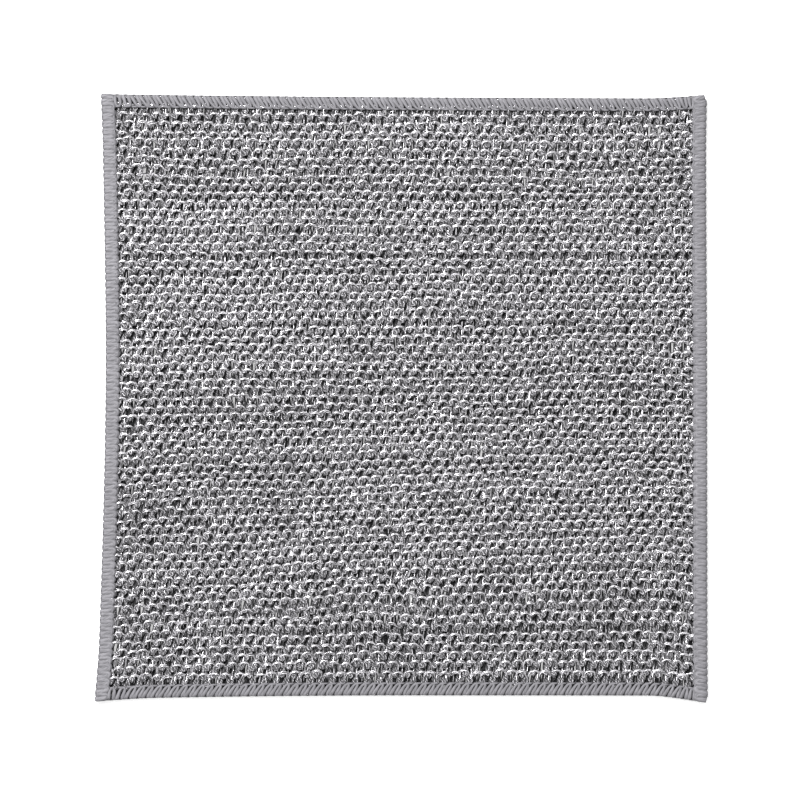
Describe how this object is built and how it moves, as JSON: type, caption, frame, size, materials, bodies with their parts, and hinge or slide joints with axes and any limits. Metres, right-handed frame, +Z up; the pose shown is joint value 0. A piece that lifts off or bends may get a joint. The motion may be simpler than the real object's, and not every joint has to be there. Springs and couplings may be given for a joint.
{
  "type": "wire dishcloth",
  "caption": "Square knitted metallic dishcloth lying flat, with overlocked edges, for scouring dishes and worktops.",
  "frame": {"origin": "on the surface that the cloth lies on, under the middle of its outline", "axes": "+X to the right and +Y to the top edge as the picture shows the cloth, +Z up from its face"},
  "size_m": [0.2046, 0.2032, 0.0024],
  "materials": {
    "metallic_yarn": "knitted grey yarn wound with bright metallic strands",
    "sewing_thread": "matte grey polyester thread"
  },
  "bodies": {
    "root": {"knitted_sheet": "metallic_yarn", "top_upper_looper_thread": "sewing_thread", "top_lower_looper_thread": "sewing_thread", "top_needle_thread": "sewing_thread", "bottom_upper_looper_thread": "sewing_thread", "bottom_lower_looper_thread": "sewing_thread", "bottom_needle_thread": "sewing_thread", "left_upper_looper_thread": "sewing_thread", "left_lower_looper_thread": "sewing_thread", "left_needle_thread": "sewing_thread", "right_upper_looper_thread": "sewing_thread", "right_lower_looper_thread": "sewing_thread", "right_needle_thread": "sewing_thread"}
  },
  "joints": []
}
